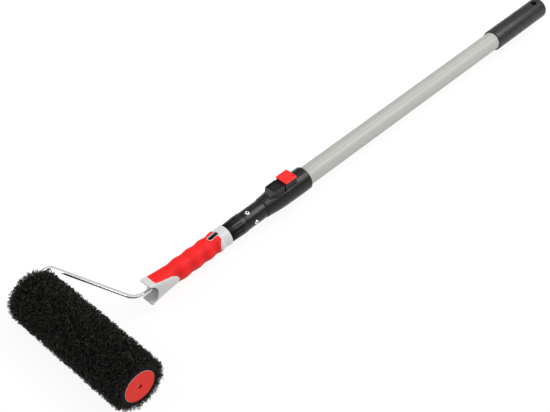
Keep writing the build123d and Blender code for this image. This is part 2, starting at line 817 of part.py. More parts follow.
# ---- Button, lever, spring and brake pad ----
def make_lock_button():
    top = cap_underside + button_cap_thickness
    cap = box(button_front, button_rear, button_width / 2, cap_underside, top)
    cap = fillet(cap.edges().filter_by(Axis.Z), button_corner)
    cap = fillet(cap.edges().group_by(Axis.Z)[-1], button_edge)
    dish_radius = (button_length ** 2 / 4 + button_dish ** 2) / (2 * button_dish)
    dish_half_width = button_width / 2 - button_dish_margin
    dish = rod_y(dish_radius, -dish_half_width, dish_half_width)
    cap -= Pos(button_middle, 0, top + dish_radius - button_dish) * dish
    nose_bottom = lever_top + press_gap
    stem_foot = nose_bottom + button_nose_radius
    stem_front_face = press_station - button_stem_length / 2
    stem_rear_face = press_station + button_stem_length / 2
    stem_half_width = button_stem_width / 2
    skirt_foot = button_seat - button_travel - button_skirt_overlap
    skirt = box(stem_front_face, stem_rear_face, stem_half_width, skirt_foot, cap_underside + cut_margin)
    post = box(press_station - button_nose_radius, press_station + button_nose_radius,
               lever_half_width, stem_foot, skirt_foot + cut_margin)
    nose = rod_y(button_nose_radius, -lever_half_width, lever_half_width)
    return cap + skirt + post + Pos(press_station, 0, stem_foot) * nose


def make_lock_lever():
    front = pivot_station - lever_front_arm
    rear = pivot_station + lever_rear_arm
    bar = box(front, rear, lever_half_width, lever_underside, lever_top)
    bar = fillet(bar.edges().filter_by(Axis.Y), lever_edge_round)
    hub = Pos(pivot_station, 0, pivot_height) * rod_y(lever_hub_radius, -lever_half_width, lever_half_width)
    hole = rod_y(pin_radius + pin_running_gap, -lever_half_width - 1, lever_half_width + 1)
    return bar + hub - Pos(pivot_station, 0, pivot_height) * hole


def make_lever_pin():
    return Pos(pivot_station, 0, pivot_height) * rod_y(pin_radius, -pin_reach, pin_reach)


def make_brake_pad():
    front = pivot_station - lever_front_arm + pad_front_margin
    pad = box(front, front + pad_length, pad_half_width, pad_foot_share * inner_radius, lever_underside)
    return pad - rod_x(inner_radius + pad_gap, front - 1, front + pad_length + 1)


def make_lever_spring():
    foot = lever_top + spring_wire_radius
    rise = cover_underside - lever_top - 2 * spring_wire_radius
    coil = Helix(pitch=rise / spring_turns, height=rise, radius=spring_radius)
    start = Plane(origin=coil @ 0, z_dir=coil % 0)
    spring = sweep(start * Circle(spring_wire_radius), path=coil, is_frenet=True)
    return Pos(pivot_station - spring_arm, 0, foot) * spring


# ---- Pole grip ----
def make_pole_grip():
    blank = rod_x(pole_grip_radius, grip_front, grip_rear)
    ends = blank.edges().filter_by(GeomType.CIRCLE).sort_by(Axis.X)
    blank = fillet(ends[-1], pole_grip_end_round)
    front_edge = blank.edges().filter_by(GeomType.CIRCLE).sort_by(Axis.X)[0]
    blank = fillet(front_edge, pole_grip_lip)
    blank -= rod_x(tube_radius, grip_front - 1, outer_tube_rear)
    hole = Cylinder(hang_hole_radius, 4 * pole_grip_radius)
    return blank - upright(grip_rear - hang_hole_margin, hole)


grip_sleeve = make_grip_sleeve()
nodes = {
    "roller_pile": make_roller_pile(),
    "roller_core": make_roller_core(),
    "near_cap": make_end_cap(-1),
    "far_cap": make_end_cap(1),
    "near_bearing": make_bearing(-1),
    "far_bearing": make_bearing(1),
    "frame_wire": make_frame_wire(),
    "far_stop": make_far_stop(),
    "push_nut": make_push_nut(),
    "handle_body": make_handle_body(grip_sleeve),
    "grip_sleeve": grip_sleeve,
    "nose_cone": make_nose_cone(),
    "stem_sleeve": make_stem_sleeve(),
    "stem_rivets": make_stem_rivets(),
    "inner_tube": make_inner_tube(),
    "rear_glide": make_rear_glide(),
    "outer_tube": make_outer_tube(),
    "lock_housing": make_lock_housing(),
    "guide_bush": make_guide_bush(),
    "latch_cover": make_latch_cover(),
    "housing_screw": make_housing_screw(),
    "lock_button": make_lock_button(),
    "lock_lever": make_lock_lever(),
    "lever_pin": make_lever_pin(),
    "brake_pad": make_brake_pad(),
    "lever_spring": make_lever_spring(),
    "pole_grip": make_pole_grip(),
}

os.makedirs("parts", exist_ok=True)
for name, solid in nodes.items():
    export_step(solid.moved(Location(-origin)), f"parts/{name}.step")
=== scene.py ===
import json
import math
from contextlib import contextmanager

import bmesh
import bpy
import numpy as np
from bpy.props import FloatProperty, FloatVectorProperty, IntProperty, PointerProperty
from bpy.types import Operator, Panel, PropertyGroup
from mathutils import Matrix, Vector

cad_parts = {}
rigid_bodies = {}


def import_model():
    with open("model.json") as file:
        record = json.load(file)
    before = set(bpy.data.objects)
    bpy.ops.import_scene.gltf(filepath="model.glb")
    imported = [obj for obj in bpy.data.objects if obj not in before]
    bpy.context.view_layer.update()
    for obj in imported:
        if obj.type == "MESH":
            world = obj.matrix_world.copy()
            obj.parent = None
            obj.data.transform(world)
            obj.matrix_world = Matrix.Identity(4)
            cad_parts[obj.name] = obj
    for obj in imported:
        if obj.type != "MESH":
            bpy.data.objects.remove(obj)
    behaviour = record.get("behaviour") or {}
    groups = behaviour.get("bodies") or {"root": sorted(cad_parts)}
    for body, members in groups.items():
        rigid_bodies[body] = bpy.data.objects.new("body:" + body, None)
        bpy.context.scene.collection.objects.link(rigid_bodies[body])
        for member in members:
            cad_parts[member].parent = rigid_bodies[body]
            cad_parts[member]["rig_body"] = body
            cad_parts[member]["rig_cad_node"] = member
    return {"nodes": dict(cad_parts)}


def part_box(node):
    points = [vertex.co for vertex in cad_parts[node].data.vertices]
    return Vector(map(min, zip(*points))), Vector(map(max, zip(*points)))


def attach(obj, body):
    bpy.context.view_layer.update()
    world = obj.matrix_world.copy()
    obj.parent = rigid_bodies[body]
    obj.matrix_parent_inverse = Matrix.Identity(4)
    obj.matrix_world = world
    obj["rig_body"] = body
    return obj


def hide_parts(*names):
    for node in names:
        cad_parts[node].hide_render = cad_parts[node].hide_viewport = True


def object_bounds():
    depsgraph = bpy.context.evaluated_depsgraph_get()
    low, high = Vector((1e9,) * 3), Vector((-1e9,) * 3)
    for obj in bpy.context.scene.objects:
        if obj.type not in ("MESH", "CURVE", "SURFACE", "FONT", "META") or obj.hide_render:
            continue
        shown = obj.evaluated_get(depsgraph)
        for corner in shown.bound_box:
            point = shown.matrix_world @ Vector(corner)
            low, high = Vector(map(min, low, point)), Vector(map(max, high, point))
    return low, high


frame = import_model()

bl_info = {
    "name": "Paint Roller",
    "version": (1, 0, 0),
    "blender": (4, 5, 0),
    "location": "3D View > Sidebar > Paint Roller",
    "description": "Builds the looks of a long-handled paint roller around its fixed frame",
    "category": "Object",
}

MM = 0.001

# The boxes of the fixed frame that the looks are placed by, in metres.
WHOLE_LOW, WHOLE_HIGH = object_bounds()
PILE_LOW, PILE_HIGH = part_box("roller_pile")
CAP_LOW, CAP_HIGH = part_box("near_cap")
_, FAR_CAP_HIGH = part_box("far_cap")
TUBE_LOW, TUBE_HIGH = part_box("outer_tube")
STEM_LOW, STEM_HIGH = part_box("stem_sleeve")
STEM_RADIUS = (STEM_HIGH.y - STEM_LOW.y) / 2
HANDLE_LOW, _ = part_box("handle_body")
AXLE = (PILE_LOW + PILE_HIGH) / 2
POLE_AXIS = Vector((0.0, (TUBE_LOW.y + TUBE_HIGH.y) / 2, AXLE.z))
PILE_RADIUS = (PILE_HIGH.x - PILE_LOW.x) / 2
CAP_RADIUS = (CAP_HIGH.x - CAP_LOW.x) / 2
CORE_LOW, CORE_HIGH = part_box("roller_core")
CORE_RADIUS = (CORE_HIGH.x - CORE_LOW.x) / 2

# How the pile is planted.
PILE_SEED = 11
PILE_BANDS = 7                  # pieces that the loops are shared out over, along the roller
SPIN_STEPS = 96
BACKING_DEPTH = 0.72            # of the backing below the tips, as a share of the loops' rise
LOOP_TILT = 0.38                # spread of the loops' random lean
LEAN_OFF_CAP = 2.2              # of the loops beside a cap, towards the outside
SHORTER_AT_CAP = 0.65
SHORTEST_LOOP = 0.70
LOOP_EXCESS = 0.75              # of the longest loops over the shortest
LONG_LOOP_RARITY = 2.5

# How the frame's faceted pieces are rounded, in degrees.
FLAT_ANGLE = 1.5
ROUNDED_ANGLE = 38.0
SMOOTH_ANGLE = 32.0

# Where the handle's and the pole's finishes change, and the bounds of the painted shade in the
# handle's mouth, in the sleeve's wave valleys and along the pole's groove.
MOUTH_SHADE_RADII = (12.4 * MM, 13.0 * MM)
SLEEVE_WAVE_RADII = (16.0 * MM, 17.4 * MM)
GROOVE_SHADE_ANGLE = 20.0               # of the painted shade line along the pole's groove, from its top, in degrees
FLATTENED = 1e6                 # stretch that takes an axis out of a distance

# The stage, in metres.
FLOOR_WIDTH = 30.0
TARGET_Y = -0.02237
KEY_PLACE, KEY_WIDTH = (0.95, -0.75, 1.9), 1.5
FILL_PLACE, FILL_WIDTH = (-1.9, 0.9, 0.7), 1.2
SENSOR_WIDTH = 36.0             # of the camera, in millimetres


# ---- What a user may change ----
def size(name, description, default, low, high):
    return FloatProperty(
        name=name, description=description, default=default, min=low, max=high,
        unit="LENGTH", precision=5,
    )


def angle(name, description, default):
    return FloatProperty(
        name=name, description=description, default=math.radians(default), subtype="ANGLE",
    )


def factor(name, description, default):
    return FloatProperty(
        name=name, description=description, default=default, min=0.0, max=1.0, subtype="FACTOR",
    )


def colour(name, description, default):
    return FloatVectorProperty(
        name=name, description=description, default=default, size=3, min=0.0, max=1.0,
        subtype="COLOR",
    )


class PileSettings(PropertyGroup):
    """The looped pile of the roller cover."""

    loop_count: IntProperty(
        name="Loops", description="Number of nylon loops in the pile", default=20000,
        min=100, max=40000,
    )
    loop_rise: size("Loop rise", "Height of a loop above the backing", 6.8 * MM, MM, 20 * MM)
    loop_spread: size("Loop spread", "Width of a loop at its widest", 3.3 * MM, MM, 20 * MM)
    fibre_radius: size("Fibre radius", "Radius of one nylon fibre", 0.30 * MM, 0.05 * MM, MM)
    end_round: size("End rounding", "Outer rounding of the pile's ends", 10 * MM, MM, 20 * MM)
    fibre_colour: colour("Fibre", "Colour of the nylon", (0.0022, 0.0022, 0.0020))
    # The paler fibres are painted glints, scattered at random over the pile.
    glint_colour: colour("Glint fibre", "Colour of the paler fibres", (0.180, 0.172, 0.145))


class FinishSettings(PropertyGroup):
    """Colours and edge rounding of the hard and soft pieces."""

    cap_red: colour("End caps", "Moulded red of the end caps", (0.70, 0.020, 0.011))
    soft_red: colour("Soft grip", "Red of the soft sleeve on the handle", (0.80, 0.012, 0.012))
    button_red: colour("Button", "Red of the lock button", (0.78, 0.010, 0.010))
    handle_grey: colour("Handle", "Grey of the hard handle body", (0.56, 0.565, 0.56))
    black: colour("Black plastic", "Moulded black of the lock housing", (0.0045, 0.0045, 0.0043))
    tube_grey: colour("Pole", "Satin grey of the anodised pole", (0.40, 0.395, 0.37))
    grip_grey: colour("Pole grip", "Dark grey of the pole's grip", (0.013, 0.0125, 0.012))
    edge_round: size("Edge rounding", "Rounding of moulded edges", 0.5 * MM, 0.05 * MM, 2 * MM)


class StageSettings(PropertyGroup):
    """The camera and the studio lights."""

    azimuth: angle("Azimuth", "Direction the camera looks from", -43.104)
    elevation: angle("Elevation", "Height of the camera above the horizon", 44.39)
    roll: angle("Roll", "Turn of the camera about its own line of sight", -3.002)
    distance: size("Distance", "From the camera to the point it looks at", 1.83186, 0.1, 10.0)
    target_x: size("Target", "Point looked at along the pole, from the middle", -0.15069, -2.0, 2.0)
    lens: FloatProperty(name="Lens", description="Focal length", default=75.6, unit="CAMERA")
    key_power: FloatProperty(
        name="Key light", description="Power of the large soft light", default=40.0, unit="POWER",
    )
    fill_power: FloatProperty(
        name="Fill light", description="Power of the low soft light", default=14.0, unit="POWER",
    )
    sky: factor("Overhead light", "Strength of the room's light from above", 0.85)
    walls: factor("Side light", "Strength of the room's light from the sides", 0.22)
    floor_glow: factor("Floor brightness", "How far the floor is washed out to white", 0.88)


# ---- Shader building ----
class Channel:
    """A shader socket that takes part in Python arithmetic by adding Math nodes."""

    def __init__(self, finish, socket):
        self.finish = finish
        self.socket = socket

    def math(self, operation, first, second):
        return self.finish.add("ShaderNodeMath", {"operation": operation}, {0: first, 1: second})

    def __add__(self, other):
        return self.math("ADD", self, other)

    def __mul__(self, other):
        return self.math("MULTIPLY", self, other)


def set_stops(ramp, stops):
    while len(ramp.elements) < len(stops):
        ramp.elements.new(0.5)
    for element, (place, shade) in zip(ramp.elements, stops):
        element.position = place
        element.color = (*shade, 1.0) if hasattr(shade, "__len__") else (shade, shade, shade, 1.0)


class Finish:
    """A material, its shader's uniform values and the nodes that vary the rest."""

    def __init__(self, name, **uniform):
        self.material = bpy.data.materials.new(name)
        self.material.use_nodes = True
        self.tree = self.material.node_tree
        self.shader = self.tree.nodes["Principled BSDF"]
        for word, value in uniform.items():
            self.shader.inputs[word.replace("_", " ")].default_value = value

    def add(self, kind, settings=None, inputs=None, output=0):
        node = self.tree.nodes.new(kind)
        for key, value in (settings or {}).items():
            if key == "stops":
                set_stops(node.color_ramp, value)
            else:
                setattr(node, key, value)
        for key, value in (inputs or {}).items():
            self.feed(node.inputs[key], value)
        return Channel(self, node.outputs[output])

    def feed(self, socket, value):
        if isinstance(value, Channel):
            self.tree.links.new(value.socket, socket)
        elif socket.type == "RGBA" and len(value) == 3:
            socket.default_value = (*value, 1.0)
        else:
            socket.default_value = value

    def vary(self, **sockets):
        for word, value in sockets.items():
            self.feed(self.shader.inputs[word.replace("_", " ")], value)
        return self.material

    def place(self, stretch=(1.0, 1.0, 1.0), centre=(0.0, 0.0, 0.0)):
        """The point on the piece, from a centre, with each axis stretched."""
        spot = self.add("ShaderNodeTexCoord", output=3)
        return self.add(
            "ShaderNodeMapping", {"vector_type": "TEXTURE"},
            {0: spot, 1: centre, 3: tuple(stretch)},
        )

    def noise(self, grain, stretch=(1.0, 1.0, 1.0), detail=3.0, roughness=0.5):
        """Noise whose features are about one grain across, in metres."""
        return self.add(
            "ShaderNodeTexNoise", {"noise_dimensions": "3D"},
            {"Vector": self.place(stretch), "Scale": 1 / grain, "Detail": detail,
             "Roughness": roughness},
        )

    def cells(self, grain):
        """Rounded cells about one grain across, in metres."""
        return self.add(
            "ShaderNodeTexVoronoi", None, {"Vector": self.place(), "Scale": 1 / grain},
        )

    def along(self, axis, centre=(0.0, 0.0, 0.0)):
        """The distance along one axis from a centre."""
        return self.add("ShaderNodeSeparateXYZ", None, {0: self.place(centre=centre)}, axis)

    def reach(self, axis, centre):
        """The distance from the line along one axis through a centre."""
        stretch = [1.0, 1.0, 1.0]
        stretch[axis] = FLATTENED
        spot = self.place(stretch, centre)
        return self.add("ShaderNodeVectorMath", {"operation": "LENGTH"}, {0: spot}, 1)

    def ramp(self, value, *stops):
        return self.add("ShaderNodeValToRGB", {"stops": stops}, {0: value})

    def between(self, value, low, high, start, end):
        """A value from low to high mapped to a range from start to end, and clamped."""
        return self.add(
            "ShaderNodeMapRange", {"clamp": True, "interpolation_type": "SMOOTHSTEP"},
            {0: value, 1: low, 2: high, 3: start, 4: end},
        )

    def mix(self, share, first, second):
        return self.add(
            "ShaderNodeMix", {"data_type": "RGBA"}, {0: share, 6: first, 7: second}, 2,
        )

    def bump(self, height, depth):
        """Relief of a depth in metres, from a height between 0 and 1."""
        return self.add(
            "ShaderNodeBump", None, {"Height": height, "Distance": depth, "Strength": 1.0},
        )

    def edges(self, radius):
        """1 near the piece's edges and 0 on its faces."""
        smooth = self.add("ShaderNodeBevel", {"samples": 4}, {"Radius": radius})
        flat = self.add("ShaderNodeNewGeometry", output=1)
        match = self.add(
            "ShaderNodeVectorMath", {"operation": "DOT_PRODUCT"}, {0: smooth, 1: flat}, 1,
        )
        return self.between(match, 0.8, 0.99, 1.0, 0.0)


def scaled(shade, amount):
    return tuple(min(1.0, part * amount) for part in shade)


# ---- Finishes ----
def moulded_plastic(name, shade, roughness):
    """Injection-moulded plastic: spark-eroded texture, faint flow marks and handling sheen."""
    finish = Finish(name, IOR=1.49)
    grain = finish.noise(0.35 * MM, detail=2.0)
    flow = finish.noise(22 * MM, stretch=(3.0, 1.0, 1.0), detail=2.0)
    handled = finish.noise(6 * MM, detail=4.0, roughness=0.6)
    body = finish.mix(flow, scaled(shade, 0.90), scaled(shade, 1.10))
    gloss = finish.between(handled, 0.35, 0.7, roughness - 0.06, roughness + 0.08)
    relief = finish.bump(grain, 0.02 * MM)
    return finish.vary(Base_Color=body, Roughness=gloss, Normal=relief)


def soft_rubber(name, shade, roughness, dust=0.10, sheen=0.15):
    """Soft-touch rubber: fine matt pebble, patches rubbed smoother and a little dust."""
    finish = Finish(name, IOR=1.45, Sheen_Weight=sheen, Sheen_Roughness=0.5)
    pebble = finish.cells(0.25 * MM)
    rubbed = finish.noise(9 * MM, detail=3.0)
    specks = finish.between(finish.noise(0.6 * MM, detail=1.0), 0.66, 0.74, 0.0, dust)
    body = finish.mix(rubbed, scaled(shade, 0.88), scaled(shade, 1.08))
    body = finish.mix(specks, body, (0.55, 0.52, 0.50))
    gloss = finish.between(rubbed, 0.3, 0.7, roughness + 0.08, roughness - 0.08)
    relief = finish.bump(pebble, 0.03 * MM)
    return finish.vary(Base_Color=body, Roughness=gloss, Normal=relief)


def brushed_metal(name, shade, roughness, stretch=(1.0, 1.0, 1.0)):
    """Metal with fine drawn lines along one direction and slightly uneven gloss."""
    finish = Finish(name, Metallic=1.0)
    lines = finish.noise(0.12 * MM, stretch=stretch, detail=3.0, roughness=0.7)
    cloud = finish.noise(14 * MM, detail=3.0)
    drawn = finish.between(lines, 0.3, 0.7, 0.0, 1.0)
    body = finish.mix(drawn, scaled(shade, 0.93), scaled(shade, 1.06))
    gloss = finish.between(cloud, 0.3, 0.7, roughness - 0.03, roughness + 0.04)
    relief = finish.bump(lines, 0.006 * MM)
    return finish.vary(Base_Color=body, Roughness=gloss, Normal=relief)


def pile_fibre(settings):
    finish = Finish("pile_fibre", IOR=1.5, Specular_IOR_Level=0.10)
    tone = finish.noise(1.3 * MM, detail=1.0)
    # painted glints: the noise sets random fibres to the pale glint colour
    body = finish.ramp(tone, (0.58, settings.fibre_colour), (0.68, settings.glint_colour))
    gloss = finish.between(finish.noise(0.9 * MM, detail=1.0), 0.3, 0.7, 0.22, 0.50)
    return finish.vary(Base_Color=body, Roughness=gloss)


def pile_base(settings):
    finish = Finish("pile_base", IOR=1.4, Roughness=0.95)
    knots = finish.cells(1.3 * MM)
    body = finish.mix(knots, scaled(settings.fibre_colour, 0.6), scaled(settings.fibre_colour, 0.2))
    return finish.vary(Base_Color=body, Normal=finish.bump(knots, 0.6 * MM))


def cap_plastic(settings):
    """Red cap moulding with faint turned rings and a painted highlight along its rim."""
    finish = Finish("cap_plastic", IOR=1.49, Specular_IOR_Level=0.22)
    reach = finish.reach(1, (AXLE.x, 0.0, AXLE.z))
    turns = reach * (2 * math.pi / (0.55 * MM))
    rings = finish.add("ShaderNodeMath", {"operation": "SINE"}, {0: turns})
    grain = finish.noise(0.3 * MM, detail=2.0)
    patches = finish.noise(8 * MM, detail=3.0)
    body = finish.mix(patches, scaled(settings.cap_red, 0.93), scaled(settings.cap_red, 1.06))
    rim = finish.between(reach, CAP_RADIUS - 0.8 * MM, CAP_RADIUS - 0.3 * MM, 0.0, 0.6)
    # painted highlight: a pale line just inside the cap's rim
    body = finish.mix(rim, body, (0.80, 0.50, 0.46))
    gloss = finish.between(patches, 0.3, 0.7, 0.50, 0.62)
    relief = rings * 0.15 + grain
    return finish.vary(Base_Color=body, Roughness=gloss, Normal=finish.bump(relief, 0.015 * MM))


def soft_sleeve(settings):
    """Red soft sleeve, with painted shade where the waves dip and on its near side."""
    finish = Finish("soft_sleeve", IOR=1.45, Specular_IOR_Level=0.22)
    reach = finish.reach(0, POLE_AXIS)
    hollow_shade = finish.between(reach, *SLEEVE_WAVE_RADII, 1.0, 0.2)
    patch = finish.noise(16 * MM, detail=2.0)
    turned = finish.between(finish.along(1, POLE_AXIS), -15 * MM, -3 * MM, 1.0, 0.25)
    # painted shade: darker red in the wave valleys and on the near side, patchy by noise
    sleeve_shade = hollow_shade * turned * finish.between(patch, 0.3, 0.7, 0.70, 1.0)
    body = finish.mix(sleeve_shade, settings.soft_red, scaled(settings.soft_red, 0.70))
    pebble = finish.cells(0.3 * MM)
    gloss = finish.between(patch, 0.3, 0.7, 0.52, 0.66)
    return finish.vary(Base_Color=body, Roughness=gloss, Normal=finish.bump(pebble, 0.03 * MM))


def chromed_wire():
    """Bright chrome over drawn wire, with a hint of the drawing lines underneath."""
    finish = Finish("chromed_wire", Metallic=1.0)
    lines = finish.noise(0.25 * MM, stretch=(6.0, 6.0, 1.0), detail=2.0)
    cloud = finish.noise(5 * MM, detail=2.0)
    body = finish.mix(cloud, (0.80, 0.81, 0.83), (0.90, 0.90, 0.91))
    gloss = finish.between(cloud, 0.3, 0.7, 0.05, 0.12)
    return finish.vary(Base_Color=body, Roughness=gloss, Normal=finish.bump(lines, 0.002 * MM))


def anodised_pole(settings):
    """Satin anodised aluminium with fine extrusion lines and a painted shade line along the near
    edge of the pole's groove.
    """
    finish = Finish("anodised_pole", Metallic=0.15, IOR=1.5)
    lines = finish.noise(0.16 * MM, stretch=(900.0, 1.0, 1.0), detail=3.0, roughness=0.7)
    grain = finish.noise(0.12 * MM, detail=2.0)
    cloud = finish.noise(30 * MM, stretch=(4.0, 1.0, 1.0), detail=3.0)
    shade = settings.tube_grey
    groove_shade_offset = (TUBE_HIGH.y - TUBE_LOW.y) / 2 * math.sin(math.radians(GROOVE_SHADE_ANGLE))
    drawn = finish.between(lines, 0.3, 0.7, 0.0, 1.0)
    body = finish.mix(drawn, scaled(shade, 0.97), scaled(shade, 1.03))
    beside = finish.along(1, centre=(0.0, POLE_AXIS.y - groove_shade_offset, 0.0))
    offset = finish.add("ShaderNodeMath", {"operation": "ABSOLUTE"}, {0: beside})
    # painted shade: a thin darker line along the near edge of the groove
    groove_shade = finish.between(offset, 0.15 * MM, 0.45 * MM, 0.22, 0.0)
    body = finish.mix(groove_shade, body, scaled(shade, 0.45))
    gloss = finish.between(cloud, 0.3, 0.7, 0.46, 0.56)
    relief = lines * 0.7 + grain * 0.3
    return finish.vary(Base_Color=body, Roughness=gloss, Normal=finish.bump(relief, 0.008 * MM))


def black_moulding(name, shade, roughness=0.40, floor=None):
    """Black moulding, finely matt with paler edges that are partly rubbed wear and partly painted
    highlight, and dull in hollows below a radius.
    """
    finish = Finish(name, IOR=1.5, Specular_IOR_Level=0.10, Coat_Roughness=roughness - 0.06)
    grain = finish.noise(0.32 * MM, detail=2.0)
    cloud = finish.noise(7 * MM, detail=4.0, roughness=0.6)
    rubbed = finish.edges(0.35 * MM)
    body = finish.mix(cloud, scaled(shade, 0.8), scaled(shade, 1.3))
    # Paler edges: partly rubbed wear, partly painted highlight.
    body = finish.mix(rubbed * 0.35, body, scaled(shade, 4.0))
    gloss = finish.between(cloud, 0.3, 0.7, roughness - 0.06, roughness + 0.08)
    shine = finish.between(cloud, 0.3, 0.7, 0.50, 0.42)
    if floor is not None:
        reach = finish.reach(0, POLE_AXIS)
        shine = shine * finish.between(reach, floor - 0.5 * MM, floor, 0.0, 1.0)
    relief = finish.bump(grain, 0.018 * MM)
    return finish.vary(Base_Color=body, Roughness=gloss, Coat_Weight=shine, Normal=relief)


# ---- Modelling ----
def deselect_all():
    if bpy.context.object is not None and bpy.context.object.mode != "OBJECT":
        bpy.ops.object.mode_set(mode="OBJECT")
    bpy.ops.object.select_all(action="DESELECT")


def take(piece):
    deselect_all()
    piece.select_set(True)
    bpy.context.view_layer.objects.active = piece


@contextmanager
def editing(piece):
    take(piece)
    bpy.ops.object.mode_set(mode="EDIT")
    bpy.ops.mesh.select_all(action="SELECT")
    yield
    bpy.ops.object.mode_set(mode="OBJECT")


def primitive(kind, name, **sizes):
    deselect_all()
    getattr(bpy.ops.mesh, f"primitive_{kind}_add")(**sizes)
    piece = bpy.context.object
    piece.name = name
    bpy.ops.object.transform_apply(location=True, rotation=True, scale=True)
    return piece


def pick_faces(piece, test):
    """In edit mode, select only the faces whose middle passes a test."""
    mesh = bmesh.from_edit_mesh(piece.data)
    bpy.ops.mesh.select_all(action="DESELECT")
    for face in mesh.faces:
        if test(face.calc_center_median()):
            face.select_set(True)
    bmesh.update_edit_mesh(piece.data)


def apply_modifier(piece, kind, **settings):
    take(piece)
    modifier = piece.modifiers.new(kind.lower(), kind)
    for key, value in settings.items():
        setattr(modifier, key, value)
    bpy.ops.object.modifier_apply(modifier=modifier.name)


def smooth(piece, degrees=35.0):
    take(piece)
    bpy.ops.object.shade_smooth_by_angle(angle=math.radians(degrees))


def dress(piece, material):
    piece.data.materials.clear()
    piece.data.materials.append(material)


def dress_nodes(material, *nodes):
    """Give a finish to pieces of the frame that are shown as they are."""
    for node in nodes:
        dress(frame["nodes"][node], material)


def finished(piece, body, material, slot, *nodes):
    """Give a new piece its finish and its body, and let it stand for its CAD nodes."""
    piece.data.name = piece.name
    dress(piece, material)
    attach(piece, body)
    if nodes:
        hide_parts(*nodes)
    return piece


def softened(node, name, width, segments=2):
    """A copy of a frame piece with its facets merged and its sharp edges rounded."""
    source = frame["nodes"][node]
    piece = source.copy()
    piece.data = source.data.copy()
    piece.name = name
    piece.parent = None
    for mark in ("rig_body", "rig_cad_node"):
        del piece[mark]
    bpy.context.scene.collection.objects.link(piece)
    with editing(piece):
        bpy.ops.mesh.customdata_custom_splitnormals_clear()
        bpy.ops.mesh.remove_doubles(threshold=0.002 * MM)
        bpy.ops.mesh.dissolve_limited(angle_limit=math.radians(FLAT_ANGLE))
        bpy.ops.mesh.vert_connect_concave()
    apply_modifier(
        piece, "BEVEL", width=width, segments=segments, limit_method="ANGLE",
        angle_limit=math.radians(ROUNDED_ANGLE), use_clamp_overlap=True, profile=0.6,
        miter_outer="MITER_ARC",
    )
    smooth(piece, SMOOTH_ANGLE)
    return piece


# ---- Roller cover ----
def pile_outline(settings, inset):
    """Points along the pile's half section, evenly spaced from rim to rim."""
    radius = PILE_RADIUS - inset
    half = (PILE_HIGH.y - PILE_LOW.y) / 2 - inset
    cap_face = (FAR_CAP_HIGH.y - CAP_LOW.y) / 2
    curve = settings.end_round - inset
    slope_foot = Vector((CAP_RADIUS + 0.45 * inset, cap_face - 0.9 * MM))
    top_radius = max(CAP_RADIUS + (PILE_HIGH.y - FAR_CAP_HIGH.y), slope_foot.x + 0.2 * inset)
    points = [slope_foot, Vector((top_radius, half))]
    for step in range(9):
        turn = math.radians(90 - 90 * step / 8)
        out, up = curve * math.cos(turn), curve * math.sin(turn)
        points.append(Vector((radius - curve + out, half - curve + up)))
    return points + [Vector((p.x, -p.y)) for p in reversed(points)]


def spread_over_outline(points, count, draw):
    """Random spots on the turned outline: angle, radius, distance and outward normal."""
    path = np.array([(p.x, p.y) for p in points])
    runs = path[1:] - path[:-1]
    lengths = np.linalg.norm(runs, axis=1)
    weights = lengths * (path[1:, 0] + path[:-1, 0])
    run = draw.choice(len(runs), size=count, p=weights / weights.sum())
    share = draw.random(count)
    spots = path[run] + runs[run] * share[:, None]
    outward = np.stack([-runs[run, 1], runs[run, 0]], axis=1) / lengths[run, None]
    turn = draw.random(count) * 2 * math.pi
    cos, sin = np.cos(turn), np.sin(turn)
    places = np.stack([spots[:, 0] * cos, spots[:, 1], spots[:, 0] * sin], axis=1) + np.array(AXLE)
    facing = np.stack([outward[:, 0] * cos, outward[:, 1], outward[:, 0] * sin], axis=1)
    return places, facing


def combed_off_the_caps(places, facing):
    """Directions and heights of the loops: beside a cap they are short and lean outwards."""
    spoke = (places - np.array(AXLE)) * np.array([1.0, 0.0, 1.0])
    radius = np.linalg.norm(spoke, axis=1)
    spoke /= radius[:, None]
    away = np.clip((radius - CAP_RADIUS) / (PILE_RADIUS - CAP_RADIUS), 0.0, 1.0)
    endwise = np.abs(facing[:, 1])
    leaning = facing + spoke * (LEAN_OFF_CAP * endwise * (1.0 - away))[:, None]
    leaning /= np.linalg.norm(leaning, axis=1)[:, None]
    return leaning, 1.0 - SHORTER_AT_CAP * endwise * (1.0 - away)


def nylon_loop(settings, name, lean, twist):
    """One open nylon loop: a bent fibre standing on its two feet."""
    deselect_all()
    rise, spread = settings.loop_rise, settings.loop_spread
    bpy.ops.curve.primitive_nurbs_path_add()
    curve = bpy.context.object
    curve.name = name
    spline = curve.data.splines[0]
    route = [
        (-0.30 * spread, 0.0, -0.15 * rise),
        (-0.62 * spread, lean * spread, 0.50 * rise),
        (-0.20 * spread, lean * spread + twist * spread, 1.08 * rise),
        (0.45 * spread, -twist * spread, 0.98 * rise),
        (0.50 * spread, -lean * spread, 0.35 * rise),
    ]
    for point, place in zip(spline.points, route):
        point.co = (*place, 1.0)
    spline.order_u = 4
    spline.use_endpoint_u = True
    curve.data.resolution_u = 2
    curve.data.bevel_depth = settings.fibre_radius
    curve.data.bevel_resolution = 0
    bpy.ops.object.convert(target="MESH")
    return bpy.context.object


